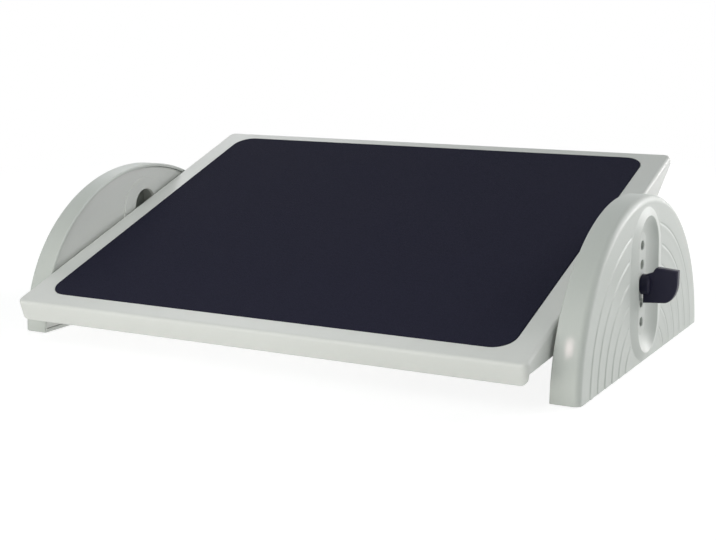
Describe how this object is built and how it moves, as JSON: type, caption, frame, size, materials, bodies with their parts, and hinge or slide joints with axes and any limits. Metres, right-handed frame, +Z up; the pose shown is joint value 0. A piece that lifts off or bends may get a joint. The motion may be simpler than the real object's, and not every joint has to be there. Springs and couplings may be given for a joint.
{
  "type": "tilting under-desk footrest",
  "caption": "Wide tilting foot platform with a dark mat, hung between two half-oval side stands with pull-out knobs in a row of height holes.",
  "frame": {"origin": "on the floor, under the middle of the whole footrest as pictured", "axes": "+Z up, +X along the tilt axis to the sitter's right, -Y towards the sitter (the platform's low edge), +Y towards the back"},
  "size_m": [0.5612, 0.3368, 0.1486],
  "materials": {
    "light_plastic": "satin moulded, very slightly green-grey white",
    "inner_plastic": "satin moulded, grey",
    "mat_rubber": "matt, dark navy-charcoal",
    "knob_plastic": "satin moulded, dark navy",
    "nylon": "natural nylon",
    "steel": "zinc plated",
    "foot_rubber": "matt"
  },
  "bodies": {
    "stands": {"right_stand_shell": "light_plastic", "right_inner_cover": "inner_plastic", "right_front_foot": "foot_rubber", "right_rear_foot": "foot_rubber", "right_front_lower_cover_screw": "steel", "right_front_upper_cover_screw": "steel", "right_rear_lower_cover_screw": "steel", "right_rear_upper_cover_screw": "steel", "left_stand_shell": "light_plastic", "left_inner_cover": "inner_plastic", "left_front_foot": "foot_rubber", "left_rear_foot": "foot_rubber", "left_front_lower_cover_screw": "steel", "left_front_upper_cover_screw": "steel", "left_rear_lower_cover_screw": "steel", "left_rear_upper_cover_screw": "steel"},
    "carriage": {"right_slide_block": "nylon", "left_slide_block": "nylon", "right_retaining_pin": "steel", "left_retaining_pin": "steel"},
    "platform": {"platform_tray": "light_plastic", "foot_mat": "mat_rubber", "right_tilt_axle": "steel", "right_upper_axle_screw": "steel", "right_lower_axle_screw": "steel", "right_friction_washer": "nylon", "left_tilt_axle": "steel", "left_upper_axle_screw": "steel", "left_lower_axle_screw": "steel", "left_friction_washer": "nylon"},
    "right_knob": {"right_height_knob": "knob_plastic", "right_lock_pin": "steel"},
    "left_knob": {"left_height_knob": "knob_plastic", "left_lock_pin": "steel"}
  },
  "joints": [
    {"name": "platform_lift", "type": "slide", "parent": "stands", "child": "carriage", "axis": [0, 0, 1], "range_m": [0, 0.0308]},
    {"name": "platform_tilt", "type": "hinge", "parent": "carriage", "child": "platform", "pos_m": [0, 0.01797, 0.0625], "axis": [1, 0, 0], "range_deg": [-48.6, 5]},
    {"name": "right_knob_pull", "type": "slide", "parent": "stands", "child": "right_knob", "axis": [1, 0, 0], "range_m": [0, 0.012]},
    {"name": "left_knob_pull", "type": "slide", "parent": "stands", "child": "left_knob", "axis": [-1, 0, 0], "range_m": [0, 0.012]}
  ]
}
